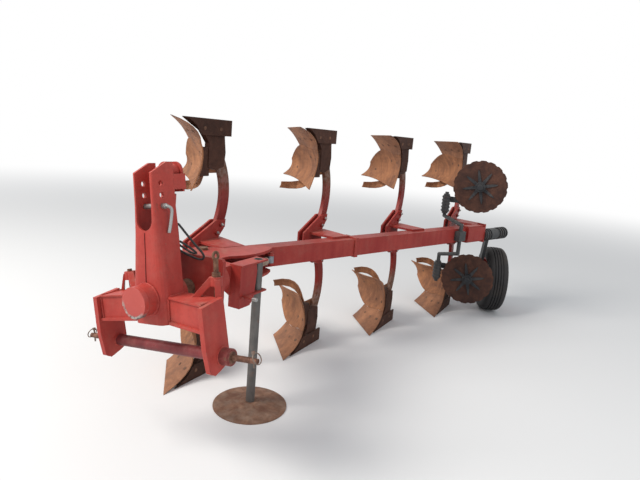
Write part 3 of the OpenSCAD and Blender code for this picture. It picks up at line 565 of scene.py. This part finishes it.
def make_finishes():
    """Makes each material once, from the colours and the wear that the user has set."""
    looks = bpy.context.scene.plough_looks
    red, deep = list(looks.paint), list(looks.paint_deep)
    rust, dark = list(looks.rust), list(looks.rust_dark)
    chips = looks.wear
    bright_rust = [min(1, c * 1.18 + 0.02) for c in rust]
    made = (
        enamel("head paint", red, between(red, deep, 0.55), chips * 0.6, 0.45),
        enamel("frame paint", darker(red, 0.82), deep, chips * 0.6, 0.35),
        enamel("leg paint", darker(red, 0.62), darker(deep, 0.7), chips * 0.9, 0.2, True),
        enamel("shaft paint", (0.26, 0.048, 0.050), (0.13, 0.022, 0.025), chips, 0.5),
        cap_enamel("cap paint", red, between(red, deep, 0.4)),
        scoured("board rust", rust, (0.15, 0.062, 0.034)),
        scoured("share rust", bright_rust, (0.19, 0.088, 0.052), 0.6),
        corroded("back rust", darker(dark, 0.75), (0.085, 0.035, 0.022)),
        disc_rust("lower disc rust", DISC_LOW),
        disc_rust("upper disc rust", DISC_HIGH),
        corroded("pin rust", (0.085, 0.036, 0.024), (0.30, 0.16, 0.10), 2.2, 0.4),
        link_pin_rust("link pin"),
        corroded("foot rust", (0.12, 0.055, 0.035), (0.30, 0.17, 0.11)),
        zinc("zinc"),
        zinc("linch rust", (0.23, 0.18, 0.15), 0.9),
        zinc("tube zinc", (0.165, 0.156, 0.150), 0.2),
        black_paint("black"),
        chrome("chrome"),
        hose_rubber("hose"),
        tyre_rubber("tyre"),
        buckle_paint("tan paint"),
        corroded("bolt rust", (0.090, 0.045, 0.030), (0.26, 0.13, 0.075), 2.0),
        enamel("seam", darker(deep, 0.6), darker(deep, 0.35), 0.0, 0.2),
    )
    FINISH.update({material.name: material for material in made})


NODE_FINISH = {
    "head paint": ("cross_beam", "end_plates", "tower", "bearing_housing", "spindle_brackets",
                   "cylinder_bracket", "cylinder_barrel"),
    "frame paint": ("turning_head", "turnover_crank", "pivot_plates", "stand_bracket",
                    "front_beam", "rear_beam", "leg_brackets", "end_block", "wheel_rim"),
    "leg paint": ("shanks_lower", "shanks_upper"),
    "shaft paint": ("cross_shaft",),
    "cap paint": ("housing_cap",),
    "board rust": ("mouldboards_lower", "mouldboards_upper", "trash_boards_lower",
                   "trash_boards_upper"),
    "share rust": ("shares_lower", "shares_upper"),
    "back rust": ("frogs_lower", "frogs_upper", "landsides_lower", "landsides_upper"),
    "lower disc rust": ("disc_lower",),
    "upper disc rust": ("disc_upper",),
    "pin rust": ("tilt_spindles", "pivot_pin", "turning_shaft"),
    "link pin": ("link_pins",),
    "foot rust": ("stand_foot",),
    "zinc": ("top_link_pin",),
    "linch rust": ("linch_pin_left", "linch_pin_right"),
    "tube zinc": ("stand_tube",),
    "black": ("coulter_holder", "coulter_arm_lower", "coulter_arm_upper", "wheel_pivot",
              "wheel_arm"),
    "chrome": ("cylinder_rod",),
    "hose": ("hoses",),
    "tyre": ("wheel_tyre",),
    "tan paint": ("turnbuckle",),
}


def turned_to(axis, at):
    """A matrix that stands a shape drawn along Z on axis, at a point."""
    return Matrix.Translation(at) @ Vector(axis).to_track_quat("Z", "Y").to_matrix().to_4x4()


def make_piece(name, bm, finish, body, crease=30):
    """Makes the bmesh a piece; edges that bend by more than crease, in degrees, stay sharp."""
    bmesh.ops.recalc_face_normals(bm, faces=bm.faces)
    mesh = bpy.data.meshes.new(name)
    bm.to_mesh(mesh)
    bm.free()
    mesh.materials.append(FINISH[finish])
    mesh.shade_smooth()
    mesh.set_sharp_from_angle(angle=math.radians(crease))
    piece = bpy.data.objects.new(name, mesh)
    bpy.context.collection.objects.link(piece)
    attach(piece, body)
    return piece


def boss(bm, at, axis, radius, height, sides=24, top=None):
    """A round or many-sided boss that stands on a point; top is its radius at the far end."""
    middle = at + axis.normalized() * height / 2
    bmesh.ops.create_cone(bm, cap_ends=True, cap_tris=False, segments=sides, radius1=radius,
                          radius2=radius if top is None else top, depth=height,
                          matrix=turned_to(axis, middle))


def hex_bolt(bm, at, axis, width):
    """A washer, a hexagon head that is width across its corners, and the crown on it."""
    axis = axis.normalized()
    r = width / 2
    washer, washer_sunk, head_up = 0.004, 0.001, 0.0028
    boss(bm, at - axis * washer_sunk, axis, r * 1.28, washer)
    seat = at + axis * head_up
    boss(bm, seat, axis, r, r * 0.95, 6)
    boss(bm, seat + axis * r * 0.93, axis, r * 0.86, r * 0.22, 18, r * 0.62)


def ring_edges(ring):
    """The edges that join the vertices of one ring."""
    return list({e for v in ring for e in v.link_edges if all(w in ring for w in e.verts)})


def tube(bm, points, radii, sides, closed=False):
    """A round bar through points, its radius given at each."""
    rings = []
    n = len(points)
    for i, at in enumerate(points):
        before = points[(i - 1) % n] if closed or i else at
        after = points[(i + 1) % n] if closed or i < n - 1 else at
        made = bmesh.ops.create_circle(bm, cap_ends=False, segments=sides, radius=radii[i],
                                       matrix=turned_to(after - before, at))
        rings.append(made["verts"])
    loops = [ring_edges(ring) for ring in rings]
    for i in range(n - 1 + closed):
        bmesh.ops.bridge_loops(bm, edges=loops[i] + loops[(i + 1) % n])
    if not closed:
        for ring in (rings[0], rings[-1]):
            bmesh.ops.contextual_create(bm, geom=ring)


WELD_SIDES = 8


def ripple(n, leg, slow, quick, start=0):
    """Radii along a bead, which swells and shrinks as the torch moved on."""
    return [leg * (0.92 + 0.16 * math.sin(i * slow + start) + 0.08 * math.sin(i * quick + start))
            for i in range(n)]


def weld(bm, a, b, leg, start):
    """A fillet weld from a to b."""
    n = max(3, int((b - a).length / (leg * 0.9)))
    points = [a.lerp(b, i / n) for i in range(n + 1)]
    tube(bm, points, ripple(n + 1, leg, 2.1, 5.3, start), WELD_SIDES)


def weld_ring(bm, centre, axis, radius, leg):
    """A fillet weld round a boss."""
    place = turned_to(axis, centre)
    n = max(24, int(2 * math.pi * radius / (leg * 1.1)))
    angles = [2 * math.pi * i / n for i in range(n)]
    points = [place @ Vector((radius * math.cos(t), radius * math.sin(t), 0)) for t in angles]
    tube(bm, points, ripple(n, leg, 2.4, 5.9), WELD_SIDES, closed=True)


class PLOUGH_OT_finishes(bpy.types.Operator):
    """Give every frame part its paint, rust or rubber"""
    bl_idname = "plough.finishes"
    bl_label = "Finishes"

    def execute(self, context):
        make_finishes()
        for finish, nodes in NODE_FINISH.items():
            for node in nodes:
                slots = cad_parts[node].data.materials
                slots.clear()
                slots.append(FINISH[finish])
        return {"FINISHED"}


class PLOUGH_OT_shank_studs(bpy.types.Operator):
    """Studs that stand out of the nuts on the leg brackets' cheeks"""
    bl_idname = "plough.shank_studs"
    bl_label = "Shank studs"

    def execute(self, context):
        radius = context.scene.plough_parts.stud / 2
        collar, reach = 0.004, 0.009
        bm = bmesh.new()
        for i in range(BODIES):
            for x, z in SHANK_BOLTS:
                for way in (1, -1):
                    at = at_body(i, x, NUT_FACE_Y, MID_Z + way * z)
                    boss(bm, at, LEFT, radius * 1.35, collar, 6)
                    boss(bm, at + LEFT * collar, LEFT, radius, reach, 16, radius * 0.85)
        make_piece("shank_studs", bm, "zinc", "turning_frame")
        return {"FINISHED"}


class PLOUGH_OT_plough_bolts(bpy.types.Operator):
    """Countersunk bolts in the shares, mouldboards and landsides"""
    bl_idname = "plough.plough_bolts"
    bl_label = "Plough bolts"

    def execute(self, context):
        radius = context.scene.plough_parts.plough_bolt / 2
        ahead, sunk, head, nib = 0.30, 0.004, 0.0052, 0.0021
        side_sunk, side_head = 0.001, 0.003
        for row in ("lower", "upper"):
            upper = row == "upper"
            bm = bmesh.new()
            for kind, spots in FACE_BOLTS.items():
                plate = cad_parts[f"{kind}_{row}"]
                for i in range(BODIES):
                    for y, z in spots:
                        start = at_body(i, ahead, y, z, upper)
                        hit, at, normal, _ = plate.ray_cast(start, -FORWARD, distance=1.0)
                        if hit:
                            boss(bm, at - normal * sunk, normal, radius, head, 24, radius * 0.94)
                            boss(bm, at, normal, radius * 0.42, nib, 4)
            for i in range(BODIES):
                for x, z in LANDSIDE_BOLTS:
                    at = at_body(i, x, -side_sunk, z, upper)
                    boss(bm, at, LEFT, radius, side_head, 24, radius * 0.9)
            make_piece(f"plough_bolts_{row}", bm, "bolt rust", "turning_frame")
        return {"FINISHED"}


class PLOUGH_OT_ribbed_tyre(bpy.types.Operator):
    """Ribbed tyre of the depth wheel, in place of the plain one"""
    bl_idname = "plough.ribbed_tyre"
    bl_label = "Ribbed tyre"

    def outline(self, ribs):
        """The tyre's cross-section, as radius and distance from the middle plane."""
        side = [(TYRE_R - depth, TYRE_HALF * share) for depth, share in TYRE_SIDE]
        lip = 0.0002
        half, top = TYRE_HALF * TREAD_SHARE, TYRE_R - lip
        pitch = 2 * half / ribs
        tread = []
        for k in range(ribs):
            y = half - pitch * k
            crown = TYRE_R - CROWN_DROP * ((y - pitch / 2) / (TYRE_HALF * CROWN_SHARE)) ** 2
            shoulder, edge = min(crown - 0.001, top), min(crown - lip, top)
            tread += [(shoulder, y - GROOVE_WIDTH * 0.5), (edge, y - GROOVE_WIDTH * 0.9),
                      (edge, y - pitch + GROOVE_WIDTH * 0.9),
                      (shoulder, y - pitch + GROOVE_WIDTH * 0.5)]
            if k < ribs - 1:
                tread += [(TYRE_R - GROOVE_DEPTH, y - pitch + GROOVE_WIDTH * 0.25),
                          (TYRE_R - GROOVE_DEPTH, y - pitch - GROOVE_WIDTH * 0.25)]
        other_side = [(radius, -y) for radius, y in reversed(side)]
        seat = [(TYRE_R - BEAD_DEPTH, way * TYRE_HALF * SEAT_SHARE) for way in (-1, 1)]
        return side + tread + other_side + seat

    def execute(self, context):
        bm = bmesh.new()
        outline = self.outline(context.scene.plough_parts.tread_ribs)
        ring = [bm.verts.new(at_wheel(0, y, radius)) for radius, y in outline]
        edges = [bm.edges.new((a, b)) for a, b in zip(ring, ring[1:] + ring[:1])]
        bmesh.ops.spin(bm, geom=ring + edges, cent=at_wheel(0, 0, 0), axis=AXLE,
                       angle=2 * math.pi, steps=TYRE_STEPS, use_merge=True)
        tyre = make_piece("ribbed_tyre", bm, "tyre", "wheel", 35)
        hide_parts("wheel_tyre")
        return {"FINISHED"}


class PLOUGH_OT_wheel_nuts(bpy.types.Operator):
    """Wheel nuts on both faces of the rim's plate, and the nut on the axle"""
    bl_idname = "plough.wheel_nuts"
    bl_label = "Wheel nuts"

    def execute(self, context):
        bm = bmesh.new()
        for k in range(NUTS):
            angle = math.radians(360 / NUTS * k + NUT_START)
            x, z = NUT_CIRCLE * math.cos(angle), NUT_CIRCLE * math.sin(angle)
            for way in (1, -1):
                hex_bolt(bm, at_wheel(x, way * NUT_Y, z), way * AXLE, NUT_WIDTH)
        boss(bm, at_wheel(0, AXLE_NUT_Y, 0), AXLE, AXLE_NUT_R, AXLE_NUT_H, 6)
        make_piece("wheel_nuts", bm, "pin rust", "wheel")
        return {"FINISHED"}


class PLOUGH_OT_head_welds(bpy.types.Operator):
    """Weld beads of the headstock, and the seam up the tower's front"""
    bl_idname = "plough.head_welds"
    bl_label = "Headstock welds"

    def execute(self, context):
        leg = context.scene.plough_parts.weld_leg
        bm = bmesh.new()
        weld_ring(bm, on_head(HOUSING_WELD[0], 0, 0), FORWARD, HOUSING_WELD[1], leg)
        for side in (1, -1):
            for a, b, share, start in WING_WELDS:
                weld(bm, on_wing(*a, side), on_wing(*b, side), leg * share, start)
            for out, radius, share in PIN_WELDS:
                at = on_head(LINK_PIN[0], side * out, LINK_PIN[1])
                weld_ring(bm, at, LINK_AXIS, radius, leg * share)
        make_piece("head_welds", bm, "head paint", "headstock", 40)
        bm = bmesh.new()
        heights = [SEAM_FOOT + SEAM_STEP * k for k in range(SEAM_POINTS)]
        wander = 0.0005
        seam = [on_head(SEAM_X - SEAM_LEAN * b, wander * math.sin(40 * b), b) for b in heights]
        tube(bm, seam, [SEAM_RADIUS] * SEAM_POINTS, 6)
        make_piece("tower_seam", bm, "seam", "headstock", 40)
        return {"FINISHED"}


class PLOUGH_OT_hose_ferrules(bpy.types.Operator):
    """Ferrules and nuts on the hoses' ends at the cylinder"""
    bl_idname = "plough.hose_ferrules"
    bl_label = "Hose ferrules"

    def execute(self, context):
        nut = 0.020
        bm = bmesh.new()
        for coming, end in HOSE_ENDS:
            axis = (on_head(*coming) - on_head(*end)).normalized()
            foot = on_head(*end) + axis * 0.003
            boss(bm, foot, axis, 0.0085, nut, 6)
            boss(bm, foot + axis * nut, axis, 0.0075, 0.008, 20)
        make_piece("hose_ferrules", bm, "zinc", "headstock")
        return {"FINISHED"}


class PLOUGH_OT_bracket_pin_end(bpy.types.Operator):
    """Bare end of the pin in the stand's bracket"""
    bl_idname = "plough.bracket_pin_end"
    bl_label = "Bracket pin end"

    def execute(self, context):
        at, length, sunk = plough(*STAND_PIN), 0.0262, 0.0004
        bm = bmesh.new()
        boss(bm, at, LEFT, STAND_PIN_R, length)
        boss(bm, at + LEFT * (length - sunk), LEFT, STAND_PIN_R - 0.0002, 0.0024, 24, 0.0095)
        make_piece("bracket_pin_end", bm, "zinc", "turning_frame")
        return {"FINISHED"}


class PLOUGH_OT_stage(bpy.types.Operator):
    """Pale floor, soft lights and the camera at the photograph's angle"""
    bl_idname = "plough.stage"
    bl_label = "Stage"

    def floor(self, context):
        bm = bmesh.new()
        bmesh.ops.create_grid(bm, x_segments=1, y_segments=1, size=FLOOR_SIZE)
        mesh = bpy.data.meshes.new("floor")
        bm.to_mesh(mesh)
        bm.free()
        floor = bpy.data.objects.new("floor", mesh)
        context.collection.objects.link(floor)
        m = Looks("floor")
        distance = m.vector("LENGTH", m.place, output="Value")
        far = distance.ramp(WHITE_FROM, WHITE_TO) * m.backdrop_rays()
        plain = m.node("ShaderNodeBsdfDiffuse", {}, {"Color": (0.80, 0.80, 0.80)})
        white = m.node("ShaderNodeEmission", {}, {"Color": (1, 1, 1), "Strength": 1.0})
        shade = m.node("ShaderNodeMixShader", {}, {0: far, 1: plain, 2: white})
        mesh.materials.append(m.finish(shade))

    def lights(self, context):
        w = Looks("studio", world=True)
        soft = w.node("ShaderNodeBackground", {}, {"Color": SKY, "Strength": SKY_STRENGTH})
        bright = w.node("ShaderNodeBackground", {}, {"Color": (1, 1, 1), "Strength": 1.0})
        seen = w.node("ShaderNodeMixShader", {}, {0: w.backdrop_rays(), 1: soft, 2: bright})
        context.scene.world = w.finish(seen)
        for name, place, aim, size, power, colour in LAMPS:
            lamp = bpy.data.lights.new(name, "AREA")
            lamp.size = size
            lamp.energy = power
            lamp.color = colour
            holder = bpy.data.objects.new(name, lamp)
            holder.location = place
            away = Vector(place) - Vector(aim)
            holder.rotation_euler = away.to_track_quat("Z", "Y").to_euler()
            context.collection.objects.link(holder)

    def camera(self, context):
        level = Vector((math.cos(HEADING), math.sin(HEADING), 0))
        ahead = level * math.cos(TILT) + UP * math.sin(TILT)
        flat_right = ahead.cross(UP).normalized()
        flat_up = flat_right.cross(ahead)
        right = flat_right * math.cos(ROLL) + flat_up * math.sin(ROLL)
        up = flat_up * math.cos(ROLL) - flat_right * math.sin(ROLL)
        data = bpy.data.cameras.new("camera")
        data.sensor_width = SENSOR
        data.lens = FOCAL_PIXELS / PICTURE_WIDTH * SENSOR
        camera = bpy.data.objects.new("camera", data)
        turn = Matrix((right, up, -ahead)).transposed()
        camera.matrix_world = Matrix.Translation(plough(*CAMERA_AT)) @ turn.to_4x4()
        context.collection.objects.link(camera)
        context.scene.camera = camera

    def execute(self, context):
        self.floor(context)
        self.lights(context)
        self.camera(context)
        context.scene.view_settings.view_transform = "Standard"
        return {"FINISHED"}


class PLOUGH_PT_panel(bpy.types.Panel):
    """Lists the plough's settings and operators"""
    bl_label = "Reversible plough"
    bl_idname = "PLOUGH_PT_panel"
    bl_space_type = "VIEW_3D"
    bl_region_type = "UI"
    bl_category = "Plough"

    def draw(self, context):
        for group in (context.scene.plough_looks, context.scene.plough_parts):
            for key in group.__annotations__:
                self.layout.prop(group, key)
        for operator in OPERATORS:
            self.layout.operator(operator.bl_idname)


OPERATORS = (PLOUGH_OT_finishes, PLOUGH_OT_shank_studs, PLOUGH_OT_plough_bolts,
             PLOUGH_OT_ribbed_tyre, PLOUGH_OT_wheel_nuts, PLOUGH_OT_head_welds,
             PLOUGH_OT_hose_ferrules, PLOUGH_OT_bracket_pin_end, PLOUGH_OT_stage)
CLASSES = (PloughLooks, PloughParts, *OPERATORS, PLOUGH_PT_panel)


def register():
    for cls in CLASSES:
        bpy.utils.register_class(cls)
    bpy.types.Scene.plough_looks = PointerProperty(type=PloughLooks)
    bpy.types.Scene.plough_parts = PointerProperty(type=PloughParts)


def unregister():
    del bpy.types.Scene.plough_parts
    del bpy.types.Scene.plough_looks
    for cls in reversed(CLASSES):
        bpy.utils.unregister_class(cls)


def main():
    register()
    for operator in OPERATORS:
        group, name = operator.bl_idname.split(".")
        getattr(getattr(bpy.ops, group), name)()


if __name__ == "__main__":
    main()
